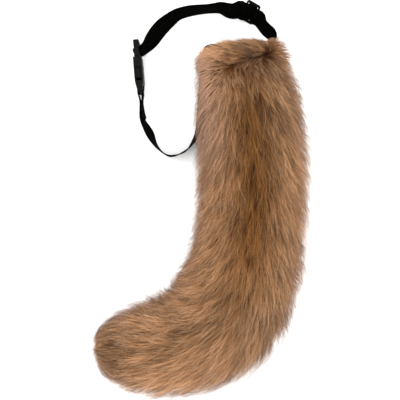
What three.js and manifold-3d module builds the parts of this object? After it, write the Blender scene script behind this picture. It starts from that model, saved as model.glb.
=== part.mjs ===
// A costume animal tail of long-pile faux fur, lying on a flat surface with its waist belt.
// Millimetres, +Z up. X runs across the tail's sewn end, Y from the tail's tip to the top of the belt.
// The tail is a stuffed tube whose pile lies in locks. A webbing belt crosses its sewn end and closes with
// a side release buckle, and a three-bar slider sets the belt's length. Belt, buckle and slider stand on
// their edges, as stiff webbing does when it is put down. The part's origin is under the middle of its box.
import * as THREE from "three";
import { mergeVertices } from "three/addons/utils/BufferGeometryUtils.js";
import Module from "manifold-3d";

const wasm = await Module();
wasm.setup();

// Driving dimensions of the tail
const tailLength = 511; // along its middle, from the sewn end to the tip
const tailWidth = 126; // the body where it is widest, without the loose ends of the locks
const tailHeight = 88; // the body where it is highest
const endWidth = 92; // the sewn end that carries the belt
const endHeight = 46;
const widestAt = 0.42; // how high the widest part of a section is, as a share of its height
const pressed = 1.25; // how far down a section would reach if it weren't flattened, as a share of widestAt

// The locks of the pile
const lockLength = 40;
const lockWidth = 24;
const lockThickness = 10;
const lockRowPitch = 25; // from one row of locks to the next, along the tail
const lockPitch = 29; // from one lock to the next, round the tail
const lockFull = 0.8; // how much broader a lock is at its middle than a plain cone's foot, as a share
const lockRoot = 8; // how deep a lock starts under the body's surface
const lockFlare = 25; // degrees that a lock leans out of the body
const lockCurl = 6; // how far a lock's tip bends back to the body
const lockSpread = 16; // degrees that the locks of the flanks turn away from the ridge
const lowestLock = -28; // degrees below the widest part, on each side
const firstLockRow = 0.02; // as a share of the tail's length, as is the last
const lastLockRow = 0.945;
const fewestLocks = 3; // in a row
const lockGrowth = { least: 0.35, byWidth: 0.75 }; // a lock's size, as the body grows to its full width
const lockJitter = { angle: 3, at: 0.008, turn: 6, size: 0.12 }; // degrees and shares
const endLocks = 5; // over the sewn end, combed back over the belt
const endLockSize = 0.7; // as a share of the others
const endLockAt = 0.035; // where they start, as a share of the tail's length
const endLockArc = { from: 45, to: 115 }; // degrees round the section
const endLockTurn = 40; // degrees from straight back, to the loop's side

// Webbing, buckle and slider, made for the same belt
const beltWidth = 25;
const beltThickness = 1.4;
const gap = 0.3; // between pieces that touch
const slotSide = 0.7; // room in a slot beside the webbing's edge
const railWidth = 3.3; // the plastic beside each slot
const maleEndBar = 6.5; // along the buckle, as the next ones
const maleSlot = 4.2;
const maleBar = 2.2; // radius of the bar that the webbing goes round
const maleBarOffset = 1.2; // of that bar, out of the buckle's middle plane
const maleShoulder = 1.5;
const maleThickness = 7;
const prongWidth = 3.6;
const prongThickness = 4.4;
const latchLength = 12;
const latchThickness = 5.6;
const guideWidth = 3;
const guideLength = 22;
const femaleLength = 44;
const femaleThickness = 10.5;
const femaleEnd = 3.2; // half the thickness of its round end
const femaleBar = 2; // radius
const femaleSlot = 4.6;
const collarLength = 12.5; // of the socket, up to its side windows
const windowLength = 17;
const latchRoom = 1.8; // from the collar to the latch
const windowHeight = 6.4;
const socketHeight = 5.8; // the room inside the socket
const socketWall = 2;
const sliderBar = 1.2; // radius of its middle bar
const sliderSlot = 5.6;
const sliderEndBar = 2.6;
const edgeRound = 0.8; // on the plastic's long edges
const sliderCorner = 3; // radius
const flapLength = 17; // the folded ends of the webbing, where they lie flat on the belt
const joinRun = 17; // from the socket's bar to where the webbing's two layers meet
const spreadRun = 12; // from the end of a folded end to where the belt is back on its line
const barRun = 16; // from where the layers part to the bar of the buckle's other half
const threadRun = 40; // before the slider, where the belt starts to go over to its bars

// How the loop lies, seen from above: its size from the buckle's side to the tail's right corner, and from
// its lowest point to its highest
const loopWidth = 175;
const loopLength = 189;
const offFloor = 0.1; // the webbing's lower edge, where its lift is 0

// The tail's sections, from the sewn end to the tip: where its middle heads, in degrees, and the width
// and height as shares of the tail's
const tailSections = [
  { at: 0, heading: -86, width: endWidth / tailWidth, height: endHeight / tailHeight },
  { at: 0.05, heading: -84, width: 0.79, height: 0.7 },
  { at: 0.13, heading: -84, width: 0.86, height: 0.88 },
  { at: 0.25, heading: -87, width: 0.9, height: 0.97 },
  { at: 0.38, heading: -92, width: 0.9, height: 1 },
  { at: 0.5, heading: -99, width: 0.92, height: 1 },
  { at: 0.6, heading: -113, width: 0.97, height: 1 },
  { at: 0.68, heading: -133, width: 0.98, height: 1 },
  { at: 0.76, heading: -156, width: 0.89, height: 0.97 },
  { at: 0.85, heading: -175, width: 0.75, height: 0.88 },
  { at: 0.92, heading: -176, width: 0.61, height: 0.74 },
  { at: 0.97, heading: -172, width: 0.39, height: 0.52 },
  { at: 1, heading: -170, width: 0.1, height: 0.18 },
];

// Places on the loop: x is a share of loopWidth from the buckle's side, y of loopLength from the lowest point
const tailStart = { x: 0.721, y: 0.728 }; // the middle of the sewn end
const femaleBarPlace = { x: 0.012, y: 0.4315 };
const sliderPlace = { x: 0.793, y: 0.953, heading: 150, lean: 36, lift: 5 };
const buckleTurn = 4.6; // degrees between the buckle and the Y axis
const maleLean = 6; // of the webbing beside the bar of the buckle's other half

// The belt's line. lean is how far the webbing's upper edge leans out of the loop, in degrees, and lift
// how far its lower edge is off the surface.
const looseSide = [
  { x: 0.018, y: 0.361, lean: 0, lift: 3.6 },
  { x: 0.032, y: 0.242, lean: 12, lift: 1.5 },
  { x: 0.075, y: 0.156, lean: 21, lift: 0.2 },
  { x: 0.114, y: 0.082, lean: 9, lift: 0 },
  { x: 0.171, y: 0.025, lean: 2, lift: 0 },
  { x: 0.235, y: 0.004, lean: 7, lift: 0 },
  { x: 0.329, y: 0.036, lean: 1, lift: 0 },
  { x: 0.386, y: 0.096, lean: 10, lift: 0 },
  { x: 0.426, y: 0.175, lean: 18, lift: 0 },
  { x: 0.438, y: 0.308, lean: 17, lift: 0.5 },
  { x: 0.444, y: 0.44, lean: 14, lift: 2 },
  { x: 0.449, y: 0.58, lean: 8, lift: 5 },
];
// Across the sewn end: x is a share of half its width from its middle, and off the room to it beyond the gap
const sewnSide = [
  { x: -1.03, off: -10, lean: 4, lift: 7 },
  { x: -0.97, off: -2.2, lean: 2, lift: 8 },
  { x: -0.84, off: 0.2, lean: 0, lift: 8.5 },
  { x: -0.4, off: 0, lean: 0, lift: 9 },
  { x: 0.1, off: 0, lean: 0, lift: 9 },
  { x: 0.6, off: 0, lean: 2, lift: 9 },
  { x: 0.74, off: 0.3, lean: 5, lift: 9 },
];
const cornerSide = [
  { x: 0.943, y: 0.751, lean: 10, lift: 8 },
  { x: 0.954, y: 0.779, lean: 18, lift: 6 },
  { x: 0.94, y: 0.811, lean: 25, lift: 4 },
  { x: 0.913, y: 0.839, lean: 26, lift: 3 },
  { x: 0.886, y: 0.874, lean: 24, lift: 3.5 },
];
const archSide = [
  { x: 0.664, y: 0.974, lean: 26, lift: 5 },
  { x: 0.586, y: 0.982, lean: 16, lift: 4 },
  { x: 0.493, y: 0.975, lean: 9, lift: 3.5 },
  { x: 0.369, y: 0.963, lean: 14, lift: 3 },
  { x: 0.282, y: 0.941, lean: 18, lift: 3 },
  { x: 0.226, y: 0.907, lean: 27, lift: 3 },
  { x: 0.166, y: 0.86, lean: 35, lift: 3.2 },
  { x: 0.121, y: 0.811, lean: 37, lift: 3.4 },
  { x: 0.086, y: 0.763, lean: 32, lift: 3.6 },
  { x: 0.057, y: 0.727, lean: 20, lift: 3.8 },
];

// Sizes that follow
const slotWidth = beltWidth + 2 * slotSide;
const plasticWidth = slotWidth + 2 * railWidth; // buckle and slider, across the webbing
const layer = beltThickness + gap; // from one layer of webbing to the next
const round = gap + beltThickness / 2; // from a bar's surface to the middle of the webbing round it
const maleBarAt = maleEndBar + maleSlot + maleBar;
const maleLength = maleBarAt + maleBar + maleSlot + maleShoulder;
const femaleAt = maleLength + gap; // where the socket starts
const femaleBarAt = femaleAt + femaleLength - femaleEnd;
const buckleLift = (plasticWidth - beltWidth) / 2;
const sliderHalf = sliderBar + sliderSlot + sliderEndBar; // half its length along the webbing
const straightRun = 5; // of the webbing, past each end of the slider and of the buckle's bars

const rad = THREE.MathUtils.degToRad;
const up = new THREE.Vector3(0, 0, 1);
const headingVector = (degrees) => new THREE.Vector3(Math.cos(rad(degrees)), Math.sin(rad(degrees)), 0);
const onLoop = (place) => new THREE.Vector3(place.x * loopWidth, place.y * loopLength, 0);

// A smooth run through the rows of a table, read at any value of its column "at"
function smoothRows(rows) {
  const names = Object.keys(rows[0]);
  const slope = rows.map((row, i) => {
    const before = rows[Math.max(i - 1, 0)];
    const after = rows[Math.min(i + 1, rows.length - 1)];
    const rise = (name) => (after[name] - before[name]) / (after.at - before.at);
    return Object.fromEntries(names.map((name) => [name, rise(name)]));
  });
  return (at) => {
    let i = 0;
    while (i < rows.length - 2 && rows[i + 1].at < at) i += 1;
    const span = rows[i + 1].at - rows[i].at;
    const t = THREE.MathUtils.clamp((at - rows[i].at) / span, 0, 1);
    const blend = (name) =>
      (2 * t ** 3 - 3 * t ** 2 + 1) * rows[i][name] +
      (t ** 3 - 2 * t ** 2 + t) * span * slope[i][name] +
      (3 * t ** 2 - 2 * t ** 3) * rows[i + 1][name] +
      (t ** 3 - t ** 2) * span * slope[i + 1][name];
    return Object.fromEntries(names.map((name) => [name, blend(name)]));
  };
}

// The same shape as a solid that can be joined and cut, and back
function solid(geometry) {
  const plain = geometry.clone();
  plain.deleteAttribute("normal");
  plain.deleteAttribute("uv");
  const merged = mergeVertices(plain, 1e-4);
  const mesh = new wasm.Mesh({
    numProp: 3,
    vertProperties: new Float32Array(merged.attributes.position.array),
    triVerts: new Uint32Array(merged.index.array),
  });
  return new wasm.Manifold(mesh);
}
function shape(body) {
  const mesh = body.getMesh();
  const geometry = new THREE.BufferGeometry();
  geometry.setAttribute("position", new THREE.BufferAttribute(new Float32Array(mesh.vertProperties), 3));
  geometry.setIndex(new THREE.BufferAttribute(new Uint32Array(mesh.triVerts), 1));
  geometry.computeVertexNormals();
  return geometry;
}
function moveVertices(geometry, place) {
  const position = geometry.attributes.position;
  const point = new THREE.Vector3();
  for (let i = 0; i < position.count; i += 1) {
    point.fromBufferAttribute(position, i);
    const moved = place(point);
    position.setXYZ(i, moved.x, moved.y, moved.z);
  }
  return geometry;
}
function box(x0, x1, y0, y1, z0, z1) {
  const geometry = new THREE.BoxGeometry(x1 - x0, y1 - y0, z1 - z0);
  return solid(geometry.translate((x0 + x1) / 2, (y0 + y1) / 2, (z0 + z1) / 2));
}

// The tail's middle line and its sections
const tailAt = smoothRows(tailSections);
const tailSteps = 256;
const tailLine = [onLoop(tailStart)];
for (let i = 0; i < tailSteps; i += 1) {
  const step = headingVector(tailAt((i + 0.5) / tailSteps).heading).multiplyScalar(tailLength / tailSteps);
  tailLine.push(tailLine[i].clone().add(step));
}
function tailFrame(at) {
  const row = tailAt(at);
  const i = Math.min(Math.floor(at * tailSteps), tailSteps - 1);
  return {
    middle: tailLine[i].clone().lerp(tailLine[i + 1], at * tailSteps - i),
    forward: headingVector(row.heading),
    side: headingVector(row.heading + 90),
    halfWidth: (row.width * tailWidth) / 2,
    height: row.height * tailHeight,
  };
}
// A point of a section: angle 0 is the widest part on the side of the right hand edge, and 90 the ridge
function sectionPoint(frame, angle, reach) {
  const widest = frame.height * widestAt;
  const rise = Math.sin(angle) > 0 ? frame.height - widest : widest * pressed;
  const across = frame.halfWidth * Math.cos(angle) * reach;
  const high = Math.max(widest + rise * Math.sin(angle) * reach, 0);
  return frame.middle.clone().addScaledVector(frame.side, across).addScaledVector(up, high);
}
function sectionNormal(frame, angle) {
  const widest = frame.height * widestAt;
  const rise = Math.sin(angle) > 0 ? frame.height - widest : widest * pressed;
  const across = Math.cos(angle) / frame.halfWidth;
  const high = Math.sin(angle) / rise;
  return new THREE.Vector3().addScaledVector(frame.side, across).addScaledVector(up, high).normalize();
}

const bodySides = 22;
const bodyRings = 24;
const tailBody = moveVertices(new THREE.CylinderGeometry(1, 1, 1, bodySides, bodyRings), (point) => {
  const angle = Math.atan2(point.z, point.x);
  return sectionPoint(tailFrame(0.5 - point.y), angle, Math.hypot(point.x, point.z));
});

// One lock: a flat cone that is full to its middle and curls back to the body at its tip
function lock(root, forward, outward, size) {
  const flare = rad(lockFlare);
  const run = forward.clone().multiplyScalar(Math.cos(flare)).addScaledVector(outward, Math.sin(flare));
  const broad = new THREE.Vector3().crossVectors(run, outward).normalize();
  const thick = new THREE.Vector3().crossVectors(broad, run).normalize();
  return moveVertices(new THREE.ConeGeometry(0.5, 1, 5, 2), (point) => {
    const along = point.y + 0.5;
    const full = (1 + lockFull * 4 * along * (1 - along)) * size;
    const moved = root.clone().addScaledVector(run, along * lockLength * size);
    moved.addScaledVector(broad, point.x * lockWidth * full);
    moved.addScaledVector(thick, point.z * lockThickness * full);
    return moved.addScaledVector(outward, -lockRoot * size * (1 - along) - lockCurl * size * along ** 2);
  });
}

// Locks down the tail, and a row over the sewn end that is combed back over the belt
let seed = 7;
const jitter = (most) => {
  seed = (seed * 1103515245 + 12345) % 2147483648;
  return ((2 * seed) / 2147483648 - 1) * most;
};
const lockRowSpan = lastLockRow - firstLockRow;
const lockRows = 1 + Math.round((lockRowSpan * tailLength) / lockRowPitch);
const lockArc = 180 - 2 * lowestLock;
const locks = [];
for (let row = 0; row < lockRows; row += 1) {
  const rowAt = firstLockRow + (lockRowSpan * row) / (lockRows - 1);
  const rowFrame = tailFrame(rowAt);
  const girth = ((Math.PI * (2 * rowFrame.halfWidth + rowFrame.height)) / 2) * (lockArc / 360);
  const count = Math.max(fewestLocks, Math.round(girth / lockPitch));
  const size = Math.min(1, lockGrowth.least + (lockGrowth.byWidth * rowFrame.halfWidth * 2) / tailWidth);
  for (let i = 0; i <= count; i += 1) {
    const share = (i + (row % 2) / 2) / (count + 0.5);
    const angle = rad(lowestLock + share * lockArc + jitter(lockJitter.angle));
    const frame = tailFrame(rowAt + jitter(lockJitter.at));
    const outward = sectionNormal(frame, angle);
    const aside = frame.side.clone().multiplyScalar(Math.sign(Math.cos(angle)));
    aside.addScaledVector(outward, -aside.dot(outward));
    const turn = rad(lockSpread * Math.abs(Math.cos(angle)) + jitter(lockJitter.turn));
    const forward = frame.forward.clone().multiplyScalar(Math.cos(turn));
    forward.addScaledVector(aside, Math.sin(turn));
    locks.push(lock(sectionPoint(frame, angle, 1), forward, outward, size * (1 + jitter(lockJitter.size))));
  }
}
for (let i = 0; i < endLocks; i += 1) {
  const frame = tailFrame(endLockAt + jitter(lockJitter.at / 2));
  const share = i / (endLocks - 1);
  const angle = endLockArc.from + (endLockArc.to - endLockArc.from) * share + jitter(lockJitter.angle);
  const back = headingVector(90 + endLockTurn + jitter(lockJitter.turn));
  const root = sectionPoint(frame, rad(angle), 1);
  locks.push(lock(root, back, sectionNormal(frame, rad(angle)), endLockSize));
}

// The belt's spine, from the socket's bar round to the bar of the other half of the buckle
const buckleForward = headingVector(-90 + buckleTurn);
const buckleSide = new THREE.Vector3().crossVectors(up, buckleForward);
const femaleBarPoint = onLoop(femaleBarPlace);
const buckleStart = femaleBarPoint.clone().addScaledVector(buckleForward, -femaleBarAt);
const maleBarPoint = buckleStart.clone().addScaledVector(buckleForward, maleBarAt);
maleBarPoint.addScaledVector(buckleSide, -maleBarOffset);

const straight = (point, forward, reach, lean, lift) => {
  const moved = point.clone().addScaledVector(forward, reach);
  return { x: moved.x, y: moved.y, lean, lift };
};
const loopRow = (row) => ({ ...row, x: row.x * loopWidth, y: row.y * loopLength });
const endFrame = tailFrame(0);
const sewnRow = (row) => {
  const moved = endFrame.middle.clone().addScaledVector(endFrame.side, (row.x * endWidth) / 2);
  moved.addScaledVector(endFrame.forward, -(round + row.off));
  return { x: moved.x, y: moved.y, lean: row.lean, lift: row.lift };
};
const sliderPoint = onLoop(sliderPlace);
const sliderForward = headingVector(sliderPlace.heading);
const sliderRow = (reach) => straight(sliderPoint, sliderForward, reach, sliderPlace.lean, sliderPlace.lift);
const spineRows = [
  straight(femaleBarPoint, buckleForward, -straightRun, 0, buckleLift),
  straight(femaleBarPoint, buckleForward, 0, 0, buckleLift),
  straight(femaleBarPoint, buckleForward, straightRun, 0, buckleLift),
  ...looseSide.map(loopRow),
  ...sewnSide.map(sewnRow),
  ...cornerSide.map(loopRow),
  sliderRow(-sliderHalf - straightRun),
  sliderRow(-sliderHalf - 1),
  sliderRow(-sliderHalf / 2),
  sliderRow(0),
  sliderRow(sliderHalf + 1),
  sliderRow(sliderHalf + straightRun),
  ...archSide.map(loopRow),
  straight(maleBarPoint, buckleSide, straightRun, maleLean, buckleLift),
  straight(maleBarPoint, buckleSide, 0, 0, buckleLift),
  straight(maleBarPoint, buckleSide, -straightRun, 0, buckleLift),
];
spineRows.forEach((row, i) => {
  const last = spineRows[i - 1];
  row.at = last ? last.at + Math.hypot(row.x - last.x, row.y - last.y) : 0;
});
const spineAt = smoothRows(spineRows);
const spineStart = spineRows[1].at;
const spineEnd = spineRows[spineRows.length - 2].at;
const sliderAt = spineRows.find((row) => row.x === sliderPoint.x).at;

// The spine's frame: along is the belt's run, wide its width, and inward the normal on the loop's side
const nearby = 0.05; // to either side of a place, for the belt's run there
function spineFrame(at) {
  const row = spineAt(at);
  const next = spineAt(at + nearby);
  const last = spineAt(at - nearby);
  const along = new THREE.Vector3(next.x - last.x, next.y - last.y, 0).normalize();
  const outward = new THREE.Vector3().crossVectors(along, up);
  const lean = rad(row.lean);
  const wide = up.clone().multiplyScalar(Math.cos(lean)).addScaledVector(outward, Math.sin(lean));
  const inward = outward.clone().multiplyScalar(-Math.cos(lean)).addScaledVector(up, Math.sin(lean));
  const stand = beltWidth * Math.cos(lean) + beltThickness * Math.abs(Math.sin(lean));
  const point = new THREE.Vector3(row.x, row.y, row.lift + offFloor + stand / 2);
  return { point, along, wide, inward, lean: row.lean };
}
// Where the webbing is cut into flat lengths: more of them where it bends or twists
const longest = 13; // of a flat length
const mostTurn = 10; // degrees from one to the next
const searchStep = 0.5;
const stops = [spineStart];
let lastStop = spineFrame(spineStart);
for (let at = spineStart; at < spineEnd; at += searchStep) {
  const frame = spineFrame(at);
  const turn = THREE.MathUtils.radToDeg(frame.along.angleTo(lastStop.along));
  const twist = Math.abs(frame.lean - lastStop.lean);
  if (turn + twist > mostTurn || at - stops[stops.length - 1] > longest) {
    stops.push(at);
    lastStop = frame;
  }
}
const clearOf = 1; // between a stop and the places that are given
const stopsBetween = (from, to) => stops.filter((at) => at > from + clearOf && at < to - clearOf);

// The webbing's way: at along the spine, off to the loop's side of it
const ramp = (at, rows) => {
  let i = 0;
  while (i < rows.length - 2 && rows[i + 1][0] < at) i += 1;
  const t = THREE.MathUtils.clamp((at - rows[i][0]) / (rows[i + 1][0] - rows[i][0]), 0, 1);
  return rows[i][1] + (rows[i + 1][1] - rows[i][1]) * t * t * (3 - 2 * t);
};
const arcRound = (centre, radius, from, to, count) =>
  Array.from({ length: count + 1 }, (_, i) => {
    const angle = rad(from + ((to - from) * i) / count);
    return { at: centre + radius * Math.cos(angle), off: radius * Math.sin(angle) };
  });

// Round the socket's bar: the folded end lies on the loop's side
const femaleRound = femaleBar + round;
const flapStart = spineStart + joinRun;
const flapEnd = flapStart + flapLength;
const aroundBar = 80; // degrees from the spine to where the webbing leaves the bar
const foldRows = [
  [spineStart, femaleRound],
  [flapStart, layer / 2],
  [flapEnd, layer / 2],
];
const looseRows = [...foldRows, [flapEnd + spreadRun, 0]];
const foldOff = (at) => ramp(at, foldRows);
const looseOff = (at) => -ramp(at, looseRows);

// Through the slider, along the belt from its middle bar: the belt goes under both end bars and over the
// middle bar, and the folded end goes round the middle bar
const foldRound = sliderBar + round;
const runRound = foldRound + layer;
const stand = 58; // degrees that the webbing stands in the slider's slots
const standSin = Math.sin(rad(stand));
const standCos = Math.cos(rad(stand));
const endBarAt = sliderBar + sliderSlot;
const runOn = sliderBar + round + 0.2; // of the belt, at the end bars
const runTop = runOn + 1.1; // past the second of them
const ease = { run: 0.6, fold: 0.9, back: 0.8 }; // the bends where the webbing goes flat
const flatAt = (radius, off) => radius * standSin + ((off + radius * standCos) * standCos) / standSin;
const bend = (radius, off, most) => [
  { at: sliderAt + flatAt(radius, off) - most * standCos, off: off - most * standSin },
  { at: sliderAt + flatAt(radius, off) + most, off },
];
const mirrored = (way) => way.map(({ at, off }) => ({ at: 2 * sliderAt - at, off })).reverse();
const threadEnd = sliderAt - sliderHalf - 2; // where the belt reaches the first end bar
const runThrough = [
  { at: threadEnd, off: runOn },
  ...mirrored(bend(runRound, runOn, ease.run)),
  ...arcRound(sliderAt, runRound, 270 - stand, 270 + stand, 6),
  ...bend(runRound, runTop, ease.run),
];
const outerLayers = 2.1 * layer; // from the belt's first layer to its third, beside the slider
const foldTop = runTop + layer;
const backTop = runTop + outerLayers;
const foldFlat = sliderAt + flatAt(foldRound, foldTop);
const foldThrough = [
  { at: foldFlat + ease.fold, off: backTop },
  { at: foldFlat - ease.back, off: backTop - ease.back },
  ...arcRound(sliderAt, foldRound, 125, 270 + stand, 9),
  ...bend(foldRound, foldTop, ease.fold),
];
const afterSlider = sliderAt + sliderHalf + 4;
const sliderFlapEnd = afterSlider + flapLength;
const pairStart = sliderFlapEnd + spreadRun; // from here to pairEnd the belt is two layers on its line
const pairEnd = spineEnd - barRun;
const maleRound = maleBar + round;
const runRows = [
  [afterSlider, runTop],
  [pairStart, -layer / 2],
  [pairEnd, -layer / 2],
  [spineEnd, -maleRound],
];
const spreadRows = [
  [afterSlider, outerLayers],
  [sliderFlapEnd + 1, outerLayers],
  [pairStart, layer],
  [pairEnd, layer],
  [spineEnd, 2 * maleRound],
];
const threadRows = [
  [sliderAt - threadRun, 0],
  [threadEnd, runOn],
];
const runOff = (at) => ramp(at, runRows);
const backOff = (at) => runOff(at) + ramp(at, spreadRows);
const foldBackOff = (at) => runOff(at) + ramp(at, spreadRows) / 2;
const singleOff = (at) => (at > sliderAt - threadRun ? ramp(at, threadRows) : looseOff(at));

const wayPoints = (list, off) => list.map((at) => ({ at, off: off(at) }));
const besideBar = spineStart + 4; // the first place past the socket's bar
const firstPly = [flapEnd, ...stopsBetween(besideBar, flapEnd).reverse()];
const doubled = stopsBetween(afterSlider - 2, spineEnd - 3);
const webbingWay = [
  ...wayPoints(firstPly, foldOff),
  ...arcRound(spineStart, femaleRound, aroundBar, 360 - aroundBar, 8),
  ...wayPoints(stopsBetween(besideBar, threadEnd - 1), singleOff),
  ...runThrough,
  ...wayPoints(doubled, runOff),
  ...arcRound(spineEnd, maleRound, 265, 455, 8),
  ...wayPoints(doubled.slice().reverse(), backOff),
  ...foldThrough,
  ...wayPoints(stopsBetween(afterSlider - 2, sliderFlapEnd), foldBackOff),
];

// A flat strip along a way, mitred where it bends
const sharpest = 0.7; // cosine of the turn up to which a mitre keeps the strip's thickness
function ribbon(way, width, thickness) {
  const places = way.map(({ at, off }) => {
    const frame = spineFrame(at);
    return { point: frame.point.clone().addScaledVector(frame.inward, off), wide: frame.wide };
  });
  const last = places.length - 1;
  places.forEach((place, i) => {
    const before = places[Math.max(i - 1, 0)].point;
    const after = places[Math.min(i + 1, last)].point;
    const run = after.clone().sub(before).normalize();
    const into = place.point.clone().sub(before).normalize();
    const mitre = i === 0 || i === last ? 1 : Math.max(run.dot(into), sharpest);
    place.thick = new THREE.Vector3().crossVectors(run, place.wide).normalize().divideScalar(mitre);
  });
  const geometry = new THREE.BoxGeometry(last, width, thickness, last, 1, 1);
  return moveVertices(geometry, (point) => {
    const place = places[Math.round(point.x + last / 2)];
    return place.point.clone().addScaledVector(place.wide, point.y).addScaledVector(place.thick, point.z);
  });
}

const webbing = ribbon(webbingWay, beltWidth, beltThickness);
const channelWay = wayPoints(stopsBetween(flapEnd, threadEnd + 1), singleOff);
const channel = ribbon(channelWay, beltWidth + 2 * gap, beltThickness + 2 * gap);

// The tail, cut level with the surface and clear of the belt
const floorSize = 2 * tailLength;
const floorCut = box(-floorSize, floorSize, -floorSize, floorSize, -tailHeight, 0);
const fullFur = wasm.Manifold.union([solid(tailBody), ...locks.map(solid)]);
const furPieces = fullFur.subtract(floorCut).subtract(solid(channel)).decompose();
const fur = furPieces.sort((a, b) => b.volume() - a.volume())[0];

// A solid whose outline in X and Y runs the whole depth along Z, with its long edges rounded
function slab(outline, depth) {
  const geometry = new THREE.ExtrudeGeometry(outline, {
    depth: depth - 2 * edgeRound,
    bevelThickness: edgeRound,
    bevelSize: edgeRound,
    bevelOffset: -edgeRound,
    bevelSegments: 2,
    curveSegments: 6,
  });
  return solid(geometry.translate(0, 0, edgeRound - depth / 2));
}
function bar(x, y, radius) {
  const geometry = new THREE.CylinderGeometry(radius, radius, slotWidth + railWidth, 16);
  return solid(geometry.rotateX(Math.PI / 2).translate(x, y, 0));
}
function outlineOf(points) {
  return new THREE.Shape(points.map(([x, y]) => new THREE.Vector2(x, y)));
}

// The buckle's socket: X runs into it from its mouth, Y through its thickness, Z across the webbing
const inner = slotWidth / 2;
const outer = plasticWidth / 2;
const femaleHalf = femaleThickness / 2;
const femaleBarIn = femaleLength - femaleEnd;
const windowEnd = collarLength + windowLength;
const femaleOutline = outlineOf([
  [0, -femaleHalf],
  [windowEnd, -femaleHalf],
  [femaleBarIn, -femaleEnd],
]);
femaleOutline.absarc(femaleBarIn, 0, femaleEnd, -Math.PI / 2, Math.PI / 2);
femaleOutline.lineTo(windowEnd, femaleHalf);
femaleOutline.lineTo(0, femaleHalf);
const socketRoom = outer - socketWall;
const socketHalf = socketHeight / 2;
const windowHalf = windowHeight / 2;
const windowIn = socketRoom - prongWidth;
const femaleSlotStart = femaleBarIn - femaleBar - femaleSlot;
const female = slab(femaleOutline, plasticWidth)
  .subtract(box(-1, windowEnd, -socketHalf, socketHalf, -socketRoom, socketRoom))
  .subtract(box(collarLength, windowEnd, -windowHalf, windowHalf, windowIn, outer + 1))
  .subtract(box(collarLength, windowEnd, -windowHalf, windowHalf, -outer - 1, -windowIn))
  .subtract(box(femaleSlotStart, femaleLength + 1, -femaleHalf, femaleHalf, -inner, inner))
  .add(bar(femaleBarIn, 0, femaleBar));

// The buckle's other half: end bar, the bar for the webbing, shoulder, two sprung prongs and a guide
const maleHalf = maleThickness / 2;
const maleWaist = maleHalf - edgeRound;
const maleOutline = outlineOf([
  [edgeRound, -maleHalf],
  [maleEndBar, -maleHalf],
  [maleEndBar + 1, -maleWaist - maleBarOffset / 2],
  [maleLength - maleShoulder - 1, -maleWaist - maleBarOffset / 2],
  [maleLength - maleShoulder, -maleHalf],
  [maleLength, -maleHalf],
  [maleLength, maleHalf],
  [maleLength - maleShoulder, maleHalf],
  [maleLength - maleShoulder - 1, maleWaist],
  [maleEndBar + 1, maleWaist],
  [maleEndBar, maleHalf],
  [edgeRound, maleHalf],
  [0, maleHalf - edgeRound],
  [0, edgeRound - maleHalf],
]);
const prongOut = socketRoom - gap;
const prongIn = prongOut - prongWidth;
const latchFrom = femaleAt + collarLength + latchRoom;
const prongHalf = prongThickness / 2;
const latchHalf = latchThickness / 2;
const male = slab(maleOutline, plasticWidth)
  .subtract(box(maleEndBar, maleLength - maleShoulder, -maleThickness, maleThickness, -inner, inner))
  .add(bar(maleBarAt, -maleBarOffset, maleBar))
  .add(box(maleLength - 1, latchFrom + 1, -prongHalf, prongHalf, prongIn, prongOut))
  .add(box(maleLength - 1, latchFrom + 1, -prongHalf, prongHalf, -prongOut, -prongIn))
  .add(box(latchFrom, latchFrom + latchLength, -latchHalf, latchHalf, prongIn, outer - gap))
  .add(box(latchFrom, latchFrom + latchLength, -latchHalf, latchHalf, gap - outer, -prongIn))
  .add(box(maleLength - 1, femaleAt + guideLength, -prongHalf, prongHalf, -guideWidth / 2, guideWidth / 2));

// The slider: X runs along the belt, Y through its thickness, Z across the webbing
const sliderOutline = new THREE.Shape();
const sliderTurns = [
  [sliderHalf - sliderCorner, outer - sliderCorner, 0],
  [sliderCorner - sliderHalf, outer - sliderCorner, 1],
  [sliderCorner - sliderHalf, sliderCorner - outer, 2],
  [sliderHalf - sliderCorner, sliderCorner - outer, 3],
];
sliderTurns.forEach(([x, z, quarter]) => {
  sliderOutline.absarc(x, z, sliderCorner, (quarter * Math.PI) / 2, ((quarter + 1) * Math.PI) / 2);
});
const sliderFrame = slab(sliderOutline, 2 * sliderBar).rotate([90, 0, 0]);
const sliderSolid = sliderFrame
  .subtract(box(-endBarAt, endBarAt, -2 * sliderBar, 2 * sliderBar, -inner, inner))
  .add(bar(0, 0, sliderBar));

const furMaterial = new THREE.MeshStandardMaterial({ color: 0x8f6238, roughness: 0.95, metalness: 0 });
const webbingMaterial = new THREE.MeshStandardMaterial({ color: 0x0b0b0c, roughness: 0.85, metalness: 0 });
const plasticMaterial = new THREE.MeshStandardMaterial({ color: 0x17181a, roughness: 0.4, metalness: 0 });
const piece = (name, body, material) => {
  const mesh = new THREE.Mesh(shape(body), material.clone());
  mesh.name = name;
  return mesh;
};

// The buckle stands on its edge, its middle halfway up the webbing's width
const buckle = new THREE.Group();
buckle.name = "buckle";
buckle.position.copy(buckleStart).setZ(outer);
buckle.rotation.z = rad(-90 + buckleTurn);
const maleMesh = piece("buckle_male", male, plasticMaterial);
const femaleMesh = piece("buckle_female", female, plasticMaterial);
femaleMesh.position.x = femaleAt;
buckle.add(maleMesh, femaleMesh);

const sliderFrameAt = spineFrame(sliderAt);
const sliderMesh = piece("slider", sliderSolid, plasticMaterial);
sliderMesh.position.copy(sliderFrameAt.point);
sliderMesh.quaternion.setFromRotationMatrix(
  new THREE.Matrix4().makeBasis(sliderFrameAt.along, sliderFrameAt.inward, sliderFrameAt.wide),
);

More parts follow.
